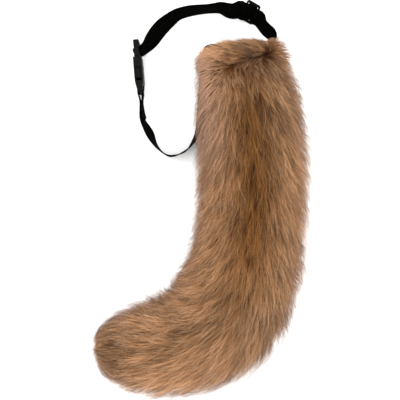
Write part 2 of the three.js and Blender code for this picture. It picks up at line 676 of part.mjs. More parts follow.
const assembly = new THREE.Group();
assembly.name = "costume_tail";
assembly.add(piece("tail_fur", fur, furMaterial), piece("belt_webbing", solid(webbing), webbingMaterial));
assembly.add(buckle, sliderMesh);
assembly.updateMatrixWorld(true);
const bounds = new THREE.Box3().setFromObject(assembly, true);
assembly.position.set(-(bounds.min.x + bounds.max.x) / 2, -(bounds.min.y + bounds.max.y) / 2, -bounds.min.z);
const part = new THREE.Group();
part.name = "part";
part.add(assembly);

export default part;
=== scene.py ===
# Looks for the costume tail: loose fur over a stuffed body, woven belt, moulded buckle and slider.
# Metres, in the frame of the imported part: seen from above, +Y is the belt's end and +X the right.
import math

import bmesh
import bpy
import numpy as np
from mathutils import Matrix, Vector, kdtree


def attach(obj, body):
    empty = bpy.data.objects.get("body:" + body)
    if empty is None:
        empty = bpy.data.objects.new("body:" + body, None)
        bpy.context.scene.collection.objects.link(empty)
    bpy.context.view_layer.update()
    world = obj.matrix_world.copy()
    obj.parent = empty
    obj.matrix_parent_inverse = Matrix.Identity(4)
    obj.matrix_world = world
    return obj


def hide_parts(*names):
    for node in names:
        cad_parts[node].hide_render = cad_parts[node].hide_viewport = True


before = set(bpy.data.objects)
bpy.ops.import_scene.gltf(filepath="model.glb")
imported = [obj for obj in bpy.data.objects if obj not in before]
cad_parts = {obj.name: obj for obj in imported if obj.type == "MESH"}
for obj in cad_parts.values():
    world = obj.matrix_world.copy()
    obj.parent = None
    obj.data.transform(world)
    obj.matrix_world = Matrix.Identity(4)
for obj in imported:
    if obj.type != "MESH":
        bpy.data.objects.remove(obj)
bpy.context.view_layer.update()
mm = 0.001
samePlace = 1e-6  # metres between points that are merged
tiny = 1e-9  # keeps a division from zero
print("frame loaded")


# shared helpers
def smoothTable(rows):
    # rows are sorted by their first column; returns a reader of the other columns
    table = np.array(rows, float)
    at = table[:, 0]
    before = np.maximum(np.arange(len(at)) - 1, 0)
    after = np.minimum(np.arange(len(at)) + 1, len(at) - 1)
    slope = (table[after, 1:] - table[before, 1:]) / (at[after] - at[before])[:, None]

    def read(where):
        where = np.atleast_1d(np.asarray(where, float))
        i = np.clip(np.searchsorted(at, where, side="left") - 1, 0, len(at) - 2)
        span = at[i + 1] - at[i]
        t = np.clip((where - at[i]) / span, 0, 1)[:, None]
        span = span[:, None]
        return (
            (2 * t**3 - 3 * t**2 + 1) * table[i, 1:]
            + (t**3 - 2 * t**2 + t) * span * slope[i]
            + (3 * t**2 - 2 * t**3) * table[i + 1, 1:]
            + (t**3 - t**2) * span * slope[i + 1]
        )

    return read


def linear(red, green, blue):
    # display colour, 0 to 255, to the linear values that shaders use
    shown = [c / 255 for c in (red, green, blue)]
    return tuple(c / 12.92 if c <= 0.04045 else ((c + 0.055) / 1.055) ** 2.4 for c in shown) + (1.0,)


def newObject(name, data):
    obj = bpy.data.objects.new(name, data)
    bpy.context.scene.collection.objects.link(obj)
    return obj


def addObject(name, mesh, material, body="root"):
    obj = newObject(name, mesh)
    mesh.materials.append(material)
    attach(obj, body)
    return obj


def finishMesh(bm, name):
    bmesh.ops.remove_doubles(bm, verts=bm.verts[:], dist=samePlace)
    bmesh.ops.recalc_face_normals(bm, faces=bm.faces[:])
    mesh = bpy.data.meshes.new(name)
    bm.to_mesh(mesh)
    bm.free()
    mesh.shade_smooth()
    return mesh


def reached(steps):
    # the running sum of the steps, from 0
    return np.concatenate([[0], np.cumsum(steps)])


def grow(value, start, over, least=0):
    # from least up to 1 over a stretch from the start, which runs the other way if it is negative
    return np.clip((value - start) / over, least, 1)


def mix(first, second, share):
    return first + (second - first) * share


def unit(vectors):
    return vectors / (np.linalg.norm(vectors, axis=-1, keepdims=True) + tiny)


def sweep(name, sections, values=None):
    # a closed skin through rows of points, grown from the first row by extruding its edges;
    # values holds a number for every point under each attribute's name
    bm = bmesh.new()
    layers = {key: bm.verts.layers.float.new(key) for key in (values or {})}
    count = sections.shape[1]
    ring = bmesh.ops.create_circle(bm, cap_ends=False, radius=1, segments=count)["verts"]
    edges = bm.edges[:]
    ends = [ring]
    for row, section in enumerate(sections):
        if row:
            grown = bmesh.ops.extrude_edge_only(bm, edges=edges)["geom"]
            edges = [part for part in grown if isinstance(part, bmesh.types.BMEdge)]
            fresh = {part for part in grown if isinstance(part, bmesh.types.BMVert)}
            others = [[edge.other_vert(vert) for edge in vert.link_edges] for vert in ring]
            ring = [next(vert for vert in around if vert in fresh) for around in others]
        for i, vert in enumerate(ring):
            vert.co = section[i]
            for key, layer in layers.items():
                vert[layer] = values[key][row, i]
    ends.append(ring)
    for end in ends:
        bmesh.ops.contextual_create(bm, geom=end)
    return finishMesh(bm, name)


class nodeSheet:
    # a small helper for writing the material of a piece; look is the piece's dictionary
    def __init__(self, name, look, colour=None):
        self.material = bpy.data.materials.new(name)
        self.material.use_nodes = True
        self.tree = self.material.node_tree
        self.shader = self.tree.nodes["Principled BSDF"]
        self.shader.inputs["Roughness"].default_value = look["roughness"]
        self.shader.inputs["Specular IOR Level"].default_value = look["specular"]
        if colour:
            self.shader.inputs["Base Color"].default_value = colour

    def add(self, kind, **values):
        # values are of the node's inputs or its settings, by their names
        node = self.tree.nodes.new(kind)
        for key, value in values.items():
            if key in node.inputs:
                node.inputs[key].default_value = value
            else:
                setattr(node, key, value)
        return node

    def link(self, source, target):
        self.tree.links.new(source, target)

    def maths(self, operation, *values):
        # each value is a number or another node's output
        node = self.add("ShaderNodeMath", operation=operation)
        for socket, value in zip(node.inputs, values):
            if isinstance(value, bpy.types.NodeSocket):
                self.link(value, socket)
            else:
                socket.default_value = value
        return node.outputs[0]

    def noise(self, **values):
        where = self.add("ShaderNodeTexCoord")
        node = self.add("ShaderNodeTexNoise", **values)
        self.link(where.outputs["Object"], node.inputs["Vector"])
        return node.outputs["Fac"]

    def colours(self, source, *stops):
        node = self.add("ShaderNodeValToRGB")
        for element, (position, colour) in zip(node.color_ramp.elements, stops):
            element.position = position
            element.color = colour
        self.link(source, node.inputs["Fac"])
        self.link(node.outputs["Color"], self.shader.inputs["Base Color"])

    def bump(self, height, strength, distance):
        node = self.add("ShaderNodeBump", Strength=strength, Distance=distance)
        self.link(height, node.inputs["Height"])
        self.link(node.outputs["Normal"], self.shader.inputs["Normal"])


def makeGrained(name, look, colour):
    # a material of one colour with a fine grain
    sheet = nodeSheet(name, look, colour)
    sheet.bump(sheet.noise(Scale=look["grain"]), look["bump"], look["depth"])
    return sheet.material


# the tail's form, as in the frame
tailForm = {
    "start": (0.05304, 0.19048),  # middle of the sewn end
    "length": 0.511,
    "width": 0.126,
    "height": 0.088,
    "widestAt": 0.42,  # share of a section's height
    "pressed": 1.25,  # more than 1 presses the underside flat
}
# share of the length, heading in degrees, width and height as shares
tailSections = [
    (0, -86, 0.73, 0.52),
    (0.05, -84, 0.79, 0.7),
    (0.13, -84, 0.86, 0.88),
    (0.25, -87, 0.9, 0.97),
    (0.38, -92, 0.9, 1),
    (0.5, -99, 0.92, 1),
    (0.6, -113, 0.97, 1),
    (0.68, -133, 0.98, 1),
    (0.76, -156, 0.89, 0.97),
    (0.85, -175, 0.75, 0.88),
    (0.92, -176, 0.61, 0.74),
    (0.97, -172, 0.39, 0.52),
    (1, -170, 0.1, 0.18),
]
readTail = smoothTable(tailSections)
lineSteps = 512
lineAt = np.linspace(0, 1, lineSteps + 1)
lineHeading = np.radians(readTail((lineAt[1:] + lineAt[:-1]) / 2)[:, 0])
lineStep = tailForm["length"] / lineSteps
lineX = tailForm["start"][0] + reached(np.cos(lineHeading)) * lineStep
lineY = tailForm["start"][1] + reached(np.sin(lineHeading)) * lineStep


def tailPlace(at):
    # middle, heading, half width and height of the sections there, past the tail's ends too
    at = np.asarray(at, float)
    inside = np.clip(at, 0, 1)
    heading, width, height = (column.reshape(at.shape) for column in readTail(inside.ravel()).T)
    turn = np.radians(heading)
    past = (at - inside) * tailForm["length"]
    x = np.interp(inside, lineAt, lineX) + np.cos(turn) * past
    y = np.interp(inside, lineAt, lineY) + np.sin(turn) * past
    return x, y, turn, width * tailForm["width"] / 2, height * tailForm["height"]


def sectionHeights(high, angle):
    # the height of a section's widest part, and how far it goes up or down from there
    widest = high * tailForm["widestAt"]
    return widest, np.where(np.sin(angle) > 0, high - widest, widest * tailForm["pressed"])


def tailPoint(at, angle, out):
    # a point out of the body's surface; angle 0 is the right flank, 90 degrees the ridge
    x, y, turn, half, high = tailPlace(at)
    widest, rise = sectionHeights(high, angle)
    normalAcross = np.cos(angle) * rise
    normalUp = np.sin(angle) * half
    size = np.hypot(normalAcross, normalUp)
    across = half * np.cos(angle) + out * normalAcross / size
    up = np.maximum(widest + rise * np.sin(angle), 0) + out * normalUp / size
    return np.stack([x - np.sin(turn) * across, y + np.cos(turn) * across, up], -1)


def roundRadius(at, angle):
    # how far one radian of angle moves a point round the section
    _, _, _, half, high = tailPlace(at)
    _, rise = sectionHeights(high, angle)
    return np.hypot(half * np.sin(angle), rise * np.cos(angle))


# the left flank beside the belt, where the fur is held down: starts and stretches
byBelt = {
    "across": (-0.35, -0.4),  # shares of the half width, from the ridge
    "down": (0.3, -0.1),  # shares of the tail's length
    "bareAcross": -0.55,  # further out than this and lower than the height no hair stands
    "bareHeight": 0.031,
    "bareDown": (0.3, -0.08),
}


def besideBelt(at, angle):
    # 1 on the left flank where the belt runs up it, 0 elsewhere
    return grow(np.cos(angle), *byBelt["across"]) * grow(at, *byBelt["down"])


# stuffed body
bodyLook = {
    "under": 0.0075,  # how far the backing lies under the pile's outer form, but not beside the belt
    "start": 0.004,  # shares of the length at which it starts and closes, under the hair
    "end": 0.972,
    "floorGap": 0.0016,
    "sides": 40,
    "rings": 60,
    # the backing's own brown, darkened as painted shade for the deep gaps between the hairs
    "dark": linear(50, 29, 14),
    "light": linear(92, 58, 30),
    "roughness": 0.95,
    "specular": 0.1,
}


def makeBodyMaterial():
    sheet = nodeSheet("short underfur darkened as painted shade", bodyLook)
    # the darker stop carries painted shade for the gaps between the hairs
    sheet.colours(sheet.noise(Scale=45), (0.35, bodyLook["dark"]), (0.7, bodyLook["light"]))
    sheet.bump(sheet.noise(Scale=900, Detail=6), strength=0.9, distance=0.0015)
    return sheet.material


def makeBody():
    stations = np.linspace(bodyLook["start"], bodyLook["end"], bodyLook["rings"])
    angles = np.linspace(0, 2 * math.pi, bodyLook["sides"], endpoint=False)
    at, angle = np.meshgrid(stations, angles, indexing="ij")
    places = tailPoint(at, angle, -bodyLook["under"] * (1 - besideBelt(at, angle)))
    places[..., 2] = np.maximum(places[..., 2], bodyLook["floorGap"])
    return addObject("tail_body", sweep("tail_body", places), makeBodyMaterial())


tailBody = makeBody()
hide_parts("tail_fur")
print("stuffed body made")


# fur
fur = {
    "seed": 21,
    "area": 0.102,  # square metres of pile, for the pitches
    "lockPitch": 0.0075,  # between the middles of neighbouring locks
    "tuftPitch": 0.0024,  # between the tufts of a lock
    "lowest": -50,  # degrees under the widest part
    "lockMargin": 6,  # degrees past that for the middles of locks, and of tufts
    "tuftMargin": 4,
    "mostRadius": 0.075,  # more than any radius of the tail
    "rootsEnd": 0.994,  # share of the length where the last hair stands
    "fullEnd": (0.05, 0.8),  # share of the length with more hair, and how much more
    "length": 0.035,
    "shortest": 0.006,
    "tipShort": 0.45,  # how much shorter at the tail's tip, and the start and stretch of that
    "tipAt": (0.82, 0.15),
    "spread": 31,  # degrees that the flanks' hair turns away from the ridge
    "spreadPower": 1.1,
    "tipRise": (0.0085, 0.0095),  # of the tips over the backing, on the ridge and on the flanks
    "flankPower": 1.5,
    "mostRise": 0.032,  # of any tip, for the locks that reach furthest
    "mostOff": 0.0125,  # how far stiffness may take a hair from the surface's own curve
    "endStiff": (0, 0.1, 0.75),  # start, stretch and least of the stiffness at the sewn end
    "heldRise": 0.45,  # how much lower and softer hair is beside the belt
    "heldStiff": 0.5,
    "fuzz": ((0.7, 1), (0.86, 2.6), (1, 5)),  # how much further the tip's loose hair stands off, right
    "bulge": 0.003,  # of the hair's middle
    "tuftPull": 0.9,
    "gatherPower": 1.2,  # more gathers the hair nearer its tip
    "overFloor": (0.0006, 0.003),  # least height of a hair, and at most so much more at its tip
    "edgeOverFloor": 0.0004,
    "taper": (2.2, 0.12),  # power, and the least share of the width
    "parting": ((0.036, 0.02), (-0.02, 0.034)),  # its ends, to the right of the ridge and down
    "partingReach": 0.028,
    "partingPush": 2.3,
    "partingTop": 3,  # more carries that further down the flanks
    "partingCalm": 0.004,  # distance inside which the parting has little effect
    "partingLean": 0.4,  # how far the hair above it is swept to the left
    "partingRight": (0.8, 0.6),  # of the push to the right, and how much less above the parting
    "partingShort": (0.36, 0.8),  # how much shorter the hair is there, and past its right end
    "shortReach": 0.018,
    # darkness of the painted shade along the parting's gap
    "partingShade": 0.55,
    "sidelong": 0.8,  # of the rest that would lie up the tail
    "pastEnd": 0.005,  # how far hair hangs out over the sewn end
    "pastEndLeft": (0.85, -0.5, 0.1),  # start, stretch and least of that, across
    "ends": (0.994, 0.975),  # shares of the length at which the tip's hair ends, right and left
    "roughness": 0.55,
    "specular": 0.08,
}
# how much single hairs differ: degrees, deviations, or the least and most of a share
vary = {
    "turn": 5,
    "longest": 1.1,
    "pastEnd": (0.3, 1.3),
    "pastTip": (0.2, 1.3),
    "rise": (0.8, 1.15),
    "shortRise": 0.1,  # over its share of the length, for a short hair
    "bulge": (0.5, 1.3),
    "curl": 0.1,
    "stiff": 0.12,
    "facing": 0.45,
    "width": (0.7, 1.3),
}
# share down the tail, the hair's spread, how far it stands off on the left and on the right
furRoom = [
    (0, 0.8, 0.7, 1),
    (0.08, 0.95, 0.85, 1),
    (0.2, 1, 0.95, 1),
    (0.3, 1, 0.35, 0.9),
    (0.45, 1, 0.35, 0.95),
    (0.58, 1, 0.5, 1.05),
    (0.68, 0.95, 0.15, 1),
    (0.76, 0.85, 0.45, 0.7),
    (0.85, 0.7, 0.5, 0.6),
    (0.92, 0.3, 0.1, 0.55),
    (1, -0.3, 0.05, 0.5),
]
readRoom = smoothTable(furRoom)
# lighter and darker patches: place down and across, reaches, how much lighter
furPatches = [
    (0.01, 0.95, 0.04, 0.25, 0.6),
    (0.02, 0.5, 0.03, 0.35, -0.4),
    (0.03, -0.5, 0.04, 0.4, 0.45),
    (0.085, -0.75, 0.05, 0.4, 0.3),
    (0.17, 0.75, 0.05, 0.35, -0.3),
    (0.17, -0.75, 0.05, 0.35, -0.1),
    (0.25, 0, 0.03, 0.35, 0.1),
    (0.55, -0.6, 0.15, 0.4, 0.2),
    (0.61, 0.8, 0.05, 0.4, -0.4),
    (0.15, 0, 0.03, 0.4, -0.18),
    (0.51, 0, 0.07, 0.35, 0.3),
    (0.79, 0.5, 0.09, 0.5, 0.4),
    (0.87, 0.2, 0.05, 0.4, 0.1),
    (0.92, 0.1, 0.035, 0.6, -0.2),
    (0.85, -0.7, 0.08, 0.35, 0.2),
]
# the layers of hair, one in each column, from the skin out
furLayers = {
    "name": ("fur_underwool", "fur_pile_low", "fur_pile_mid", "fur_pile_top", "fur_guard_hairs", "fur_wisps"),
    "strands": (17000, 27000, 26000, 26000, 22000, 26000),
    "parts": (3, 3, 4, 4, 4, 3),  # pieces of each hair
    "width": (0.0008, 0.00062, 0.0005, 0.00044, 0.00036, 0.0003),
    "length": (0.7, 0.9, 1.0, 1.1, 1.55, 1.0),  # share of the fur's own, as the rise is
    "least": (0.8, 0.8, 0.8, 0.75, 0.3, 0.4),  # the shortest hair's share of that
    "rise": (0.7, 0.88, 1.0, 1.12, 2.5, 2.9),
    "roomed": (1.0, 1.0, 1.0, 1.0, 0.6, 0.3),  # how much it follows the table of room
    "stiff": (0.2, 0.3, 0.4, 0.5, 0.9, 0.8),  # how straight a hair is
    "lockPull": (0.42, 0.42, 0.42, 0.5, 0.75, 0.7),  # how far its tip goes to its lock's middle
    "spread": (1.0, 1.0, 1.0, 1.1, 1.25, 1.4),  # share of the fur's own
    "held": (0.5, 0.5, 0.5, 0.45, 0.1, 0.0),  # how much shorter it is beside the belt
    "pastTip": (0.001, 0.0015, 0.002, 0.003, 0.007, 0.008),  # how far it reaches past the tail's end
    "toneAndDepthShade": (0.5, 0.75, 1.03, 1.17, 1.1, 1.1),  # brightness, lower for the deeper layers as painted shade deep in the pile, and how much it differs
    "mixed": (0.1, 0.15, 0.22, 0.4, 0.35, 0.3),
    "edgeFrom": (0.45, 0.45, 0.45, 0.45, 0.65, 0.6),  # where the edge starts, across
    "edgeTip": ("softTip", "softTip", "softTip", "softTip", "mauveTip", "mauveTip"),
    "soft": (0.2, 0.25, 0.35, 0.5, 0.9, 0.9),  # how much of that colour the tips take at the edge
    "edgeDark": (0.0, 0.0, 0.0, 0.15, 0.5, 0.75),  # how much darker the middle is there
}
furColours = {
    # the roots' colour is their own brown, deepened as painted shade deep in the pile
    "root": (64, 34, 13),
    "middle": (152, 110, 72),
    "tip": (190, 158, 132),
    "softTip": (174, 152, 144),
    "mauve": (88, 62, 50),
    "mauveTip": (100, 75, 70),
    # the two darker ridge colours are painted shade along the top of the tail
    "ridge": (96, 59, 26),
    "ridgeTip": (138, 97, 52),
    # the dark colour serves darker hairs, the dark spot at the tip, and painted shade in the gaps between
    # locks and along the parting
    "dark": (50, 25, 9),
}
# where the colours go: shares of the half width, of the length, of a hair or of a colour
furShade = {
    # the darker ridge is painted shade along the top of the tail
    "ridgeWidth": 0.45,
    "ridgeStart": (0, 0.12, 0.3),  # start, stretch and least, down the tail
    "ridgeFade": (0.75, -0.3, 0.25),
    "edgeOver": 0.4,
    # the dark locks and tufts are partly darker hairs and partly painted shade in the gaps between locks
    "lockDark": 0.4,
    "tuftDark": 0.6,
    "flankDark": (1.2, -1),  # start and stretch of the dark tufts, across
    "calmBeside": 0.5,  # how much more even the fur is beside the belt
    "lightBeside": 0.8,
    "softBeside": (0.3, 0.75),  # of the soft colour there, in the middle and at the tip
    "rootBeside": 0.6,
    "tipSpot": (0.915, 0.025, 0.5, 0.6),  # its place, reaches down and across, and darkness
    # width of the painted shade along the parting
    "partingShadeWidth": 0.007,
    "edgeShade": (0.55, 0.5),  # dark hairs take less of the edge's colour
    "darkTip": 0.7,
    "rootPart": (0.45, 1.1),  # share of the hair, and power
    "tipPart": (0.5, 1.4),
    "shade": (0.4, 1.7),
    "colour": (0.003, 0.95),
}
rng = np.random.default_rng(fur["seed"])


def seedPlaces(count, margin):
    # even random places, as shares along and angles, to this many degrees past the hair
    low = math.radians(fur["lowest"] - margin)
    high = math.radians(180 + margin - fur["lowest"])
    fullUntil, fuller = fur["fullEnd"]
    places = []
    while sum(len(p) for p in places) < count:
        at = rng.uniform(0.0, fur["rootsEnd"], count)
        angle = rng.uniform(low, high, count)
        wanted = roundRadius(at, angle) * (1 + fuller * (at < fullUntil))
        keep = rng.uniform(0, fur["mostRadius"], count) < wanted
        places.append(np.stack([at[keep], angle[keep]], 1))
    return np.concatenate(places)[:count]


def fromParting(at, angle):
    # the way right and down from the parting's nearest place, and the distance
    noCloser = 1e-4
    (startX, startY), (endX, endY) = fur["parting"]
    runX, runY = endX - startX, endY - startY
    _, _, _, half, _ = tailPlace(at)
    x = half * np.cos(angle)
    y = at * tailForm["length"]
    share = ((x - startX) * runX + (y - startY) * runY) / (runX**2 + runY**2)
    share = np.clip(share, 0, 1)
    dx, dy = x - startX - share * runX, y - startY - share * runY
    return dx, dy, np.hypot(dx, dy) + noCloser


def flowAt(at, angle, spread):
    # the way that the hair lies: shares down the tail and round it to the right
    across = np.cos(angle)
    lean = np.radians(fur["spread"]) * spread * readRoom(at)[:, 0]
    lean = lean * np.abs(across) ** fur["spreadPower"] * np.sign(across)
    down, right = np.cos(lean), np.sin(lean)

    # away from the parting near the sewn end
    dx, dy, far = fromParting(at, angle)
    calm = far**2 / (far**2 + fur["partingCalm"] ** 2)
    push = fur["partingPush"] * np.exp(-((far / fur["partingReach"]) ** 2)) * calm
    push = push * np.clip(np.sin(angle) * fur["partingTop"], 0, 1)
    above = np.clip(-dy / far, 0, 1)
    kept, less = fur["partingRight"]
    toRight = np.where(dx > 0, kept - less * above, 1)
    right = right + push * (toRight * dx / far - fur["partingLean"] * above)
    down = down + push * dy / far
    down = np.where(down < 0, down * fur["sidelong"], down)
    size = np.hypot(right, down)
    return down / size, right / size


def nearest(points, centres):
    tree = kdtree.KDTree(len(centres))
    for i, centre in enumerate(centres):
        tree.insert(centre, i)
    tree.balance()
    return np.array([tree.find(p)[1] for p in points])


lockPlaces = seedPlaces(int(fur["area"] / fur["lockPitch"] ** 2), fur["lockMargin"])
tuftPlaces = seedPlaces(int(fur["area"] / fur["tuftPitch"] ** 2), fur["tuftMargin"])
lockPoints = tailPoint(lockPlaces[:, 0], lockPlaces[:, 1], np.zeros(len(lockPlaces)))
tuftPoints = tailPoint(tuftPlaces[:, 0], tuftPlaces[:, 1], np.zeros(len(tuftPlaces)))
tuftLock = nearest(tuftPoints, lockPoints)
lockCount, tuftCount = len(lockPlaces), len(tuftPlaces)
# each lock's and tuft's own turn, length, height, shade, darkness and reach; the dark ones are partly darker
# hairs and partly painted shade in the gaps between locks
lockLook = {
    "turn": rng.normal(0, math.radians(8), lockCount),
    "length": rng.uniform(0.85, 1.15, lockCount),
    "rise": rng.uniform(0.8, 1.2, lockCount),
    "shade": rng.normal(0, 0.12, lockCount),
    "dark": rng.uniform(0, 1, lockCount) < 0.12,
    "reach": rng.uniform(0.4, 1, lockCount),
}
tuftLook = {
    "turn": rng.normal(0, math.radians(7), tuftCount),
    "length": rng.uniform(0.85, 1.15, tuftCount),
    "shade": rng.normal(0, 0.32, tuftCount),
    "dark": rng.uniform(0, 1, tuftCount) < 0.2,
    "reach": rng.uniform(0.7, 1, tuftCount),
}


def shownPlace(at, angle):
    # False where the belt lies against the tail and no hair stands
    height = tailPoint(at, angle, np.zeros(len(at)))[:, 2]
    bare = height < byBelt["bareHeight"] * grow(at, *byBelt["bareDown"])
    return ~(bare & (np.cos(angle) < byBelt["bareAcross"]))


def roomAt(at, angle):
    # how far the hair stands off here, as a share
    _, left, right = readRoom(at).T
    return mix(left, right, (1 + np.cos(angle)) / 2)


def hairLengths(at, angle, down, full, layer):
    # how long each hair is, from its tuft's full length, and its own share of that
    nearTip = 1 - fur["tipShort"] * layer["roomed"] * grow(at, *fur["tipAt"])
    dx, dy, far = fromParting(at, angle)
    shortThere, shortPast = fur["partingShort"]
    nearParting = np.where((dx > 0) & (dy < 0), shortPast, shortThere)
    nearParting = 1 - nearParting * np.exp(-((far / fur["shortReach"]) ** 2)) * (np.sin(angle) > 0)
    varied = rng.uniform(layer["least"], vary["longest"], len(at))
    length = full * varied * nearTip * nearParting * (1 - layer["held"] * besideBelt(at, angle))

    # no further than a little past the ends
    leastUp, leastDown = 0.001, 0.2
    pastEnd = fur["pastEnd"] * rng.uniform(*vary["pastEnd"], len(at))
    pastEnd = pastEnd * grow(np.cos(angle), *fur["pastEndLeft"])
    pastTip = layer["pastTip"] * rng.uniform(*vary["pastTip"], len(at))
    ends = mix(*fur["ends"], layer["roomed"] * np.clip(-np.cos(angle), 0, 1))
    roomBack = (at * tailForm["length"] + pastEnd) / np.maximum(-down, leastUp)
    roomOn = ((ends - at) * tailForm["length"] + pastTip) / np.maximum(down, leastDown)
    length = np.minimum(length, np.where(down < 0, roomBack, roomOn))
    return np.maximum(length, fur["shortest"]), varied


def hairPoints(at, angle, tuft, layer):
    # points up each hair, gathered into tufts and locks on the way to the tip
    count = len(at)
    lock = tuftLock[tuft]
    lockAt, lockAngle = lockPlaces[lock].T
    tuftAt, tuftAngle = tuftPlaces[tuft].T
    flowDown, flowRight = flowAt(tuftAt, tuftAngle, layer["spread"])
    turn = lockLook["turn"][lock] + tuftLook["turn"][tuft]
    turn = turn + rng.normal(0, math.radians(vary["turn"]), count)
    down = flowDown * np.cos(turn) - flowRight * np.sin(turn)
    right = flowDown * np.sin(turn) + flowRight * np.cos(turn)
    full = fur["length"] * layer["length"] * lockLook["length"][lock] * tuftLook["length"][tuft]
    length, varied = hairLengths(at, angle, down, full, layer)

    held = besideBelt(at, angle)
    room = roomAt(at, angle)
    reach = lockLook["reach"][lock] * tuftLook["reach"][tuft]
    rise = mix(*fur["tipRise"], np.abs(np.cos(angle)) ** fur["flankPower"])
    rise = rise * layer["rise"] * lockLook["rise"][lock] * rng.uniform(*vary["rise"], count)
    rise = rise * (1 - fur["heldRise"] * held) * room ** layer["roomed"]
    rise = rise * np.minimum(varied + vary["shortRise"], 1)
    fuzzAt, fuzzier = np.array(fur["fuzz"]).T
    rise = rise * np.interp(at, fuzzAt, fuzzier) ** ((1 - layer["roomed"]) * np.clip(np.cos(angle), 0, 1))
    rise = np.minimum(rise, fur["mostRise"] * reach)
    bulge = fur["bulge"] * layer["rise"] * rng.uniform(*vary["bulge"], count)
    curl = rng.normal(0, vary["curl"], count)
    stiff = np.clip(layer["stiff"] + rng.normal(0, vary["stiff"], count), 0, 1)
    stiff = stiff * (1 - fur["heldStiff"] * held) * room ** layer["roomed"]
    stiff = stiff * grow(at, *fur["endStiff"])

    # the ways on and out of the surface, and how far round it a radian goes
    ahead, aside, leastSize, steady = 0.003, 0.01, 0.015, (0.02, 0.95)
    size = np.maximum(roundRadius(np.clip(tuftAt, *steady), tuftAngle), leastSize)
    nothing = np.zeros(count)
    here = tailPoint(tuftAt, tuftAngle, nothing)
    there = tailPoint(tuftAt + ahead * down / tailForm["length"], tuftAngle - ahead * right / size, nothing)
    straightWay = unit(there - here)
    outward = unit(tailPoint(at, angle, nothing + aside) - tailPoint(at, angle, nothing))

    points = []
    lowest, tipHigher = fur["overFloor"]
    steps = np.linspace(0, 1, layer["parts"] + 1)
    for t in steps:
        gather = t ** fur["gatherPower"]
        tuftShift = 1 - fur["tuftPull"] * gather
        lockShift = 1 - layer["lockPull"] * gather
        baseAt = mix(lockAt, tuftAt, lockShift) + (at - tuftAt) * tuftShift
        baseAngle = mix(lockAngle, tuftAngle, lockShift) + (angle - tuftAngle) * tuftShift
        run = length * t
        height = -bodyLook["under"] + rise * t + bulge * 4 * t * (1 - t)
        nowAngle = baseAngle - run * (right + curl * t) / size
        wrapped = tailPoint(baseAt + run * down / tailForm["length"], nowAngle, height)
        straight = tailPoint(baseAt, baseAngle, height) + straightWay * run[:, None]
        off = (straight - wrapped) * stiff[:, None]
        offSize = np.linalg.norm(off, axis=1, keepdims=True) + tiny
        place = wrapped + off * np.minimum(fur["mostOff"] * (room * reach)[:, None] / offSize, 1)
        place[:, 2] = np.maximum(place[:, 2], lowest + tipHigher * t * rng.uniform(0, 1, count))
        points.append(place)
    return np.stack(points, 1), steps, outward


def hairColours(at, angle, tuft, share, layer):
    # dark at the root, the roots' own brown deepened as painted shade; golden in the middle, lighter at the
    # tip; darker along the ridge as painted shade
    look = furShade
    lock = tuftLock[tuft]
    share = share[None, :, None]
    pick = {key: np.array(linear(*value)[:3]) for key, value in furColours.items()}
    across = np.cos(angle)
    onTop = np.sin(angle) > 0
    # painted shade along the ridge, weaker near the sewn end and towards the tip
    ridge = np.exp(-((across / look["ridgeWidth"]) ** 2)) * grow(at, *look["ridgeFade"])
    ridge = (ridge * onTop * grow(at, *look["ridgeStart"]))[:, None, None]

    # single tufts and patches, more even beside the belt
    shade = 1 + lockLook["shade"][lock] + tuftLook["shade"][tuft] + rng.normal(0, layer["mixed"], len(at))
    for patchAt, patchAcross, reachAt, reachAcross, lighter in furPatches:
        away = ((at - patchAt) / reachAt) ** 2 + ((across - patchAcross) / reachAcross) ** 2
        shade = shade + lighter * np.exp(-away)
    beside = besideBelt(at, angle)
    shade = 1 + (shade - 1) * (1 - look["calmBeside"] * beside)
    # dark locks and tufts, most towards the ridge: partly darker hairs, partly painted shade in the gaps
    # between locks
    darkHairsAndShade = lockLook["dark"][lock] * look["lockDark"] + tuftLook["dark"][tuft] * look["tuftDark"]
    darkHairsAndShade = darkHairsAndShade * grow(np.abs(across), *look["flankDark"]) * (1 - look["lightBeside"] * beside)
    beside = beside[:, None, None]

    # the dark spot at the tip, and painted shade along the line of the parting
    spotAt, spotReach, spotAcross, spotDark = look["tipSpot"]
    tipSpot = np.exp(-(((at - spotAt) / spotReach) ** 2) - (across / spotAcross) ** 2) * onTop
    dx, dy, far = fromParting(at, angle)
    partingShadeLine = np.exp(-((far / look["partingShadeWidth"]) ** 2)) * onTop * (1 - (dx > 0) * (dy < 0))
    darkHairsAndShade = np.maximum(darkHairsAndShade, spotDark * tipSpot)
    darkHairsAndShade = np.maximum(darkHairsAndShade, fur["partingShade"] * partingShadeLine)[:, None, None]

    edge = grow(np.abs(across), layer["edgeFrom"], look["edgeOver"])[:, None, None]
    softMiddle, softTip = look["softBeside"]
    middle = mix(pick["middle"], pick["ridge"], ridge)
    middle = mix(middle, pick["softTip"], beside * softMiddle)
    middle = mix(middle, pick["mauve"], edge * layer["edgeDark"])
    tip = mix(pick["tip"], pick["ridgeTip"], ridge)
    lit = grow(shade, *look["edgeShade"])[:, None, None]
    tip = mix(tip, pick[layer["edgeTip"]], np.maximum(edge * layer["soft"], beside * softTip) * lit)
    middle = mix(middle, pick["dark"], darkHairsAndShade)
    tip = mix(tip, pick["dark"], look["darkTip"] * darkHairsAndShade)

    # how far the dark root runs up each hair: its own brown, deepened as painted shade
    rootShare, rootPower = look["rootPart"]
    tipShare, tipPower = look["tipPart"]
    low = np.clip(share / rootShare + beside * look["rootBeside"], 0, 1) ** rootPower
    high = grow(share, tipShare, 1 - tipShare) ** tipPower
    colour = mix(mix(pick["root"], middle, low), tip, high)
    bright = np.clip(shade, *look["shade"]) * layer["toneAndDepthShade"]
    return np.clip(colour * bright[:, None, None], *look["colour"])


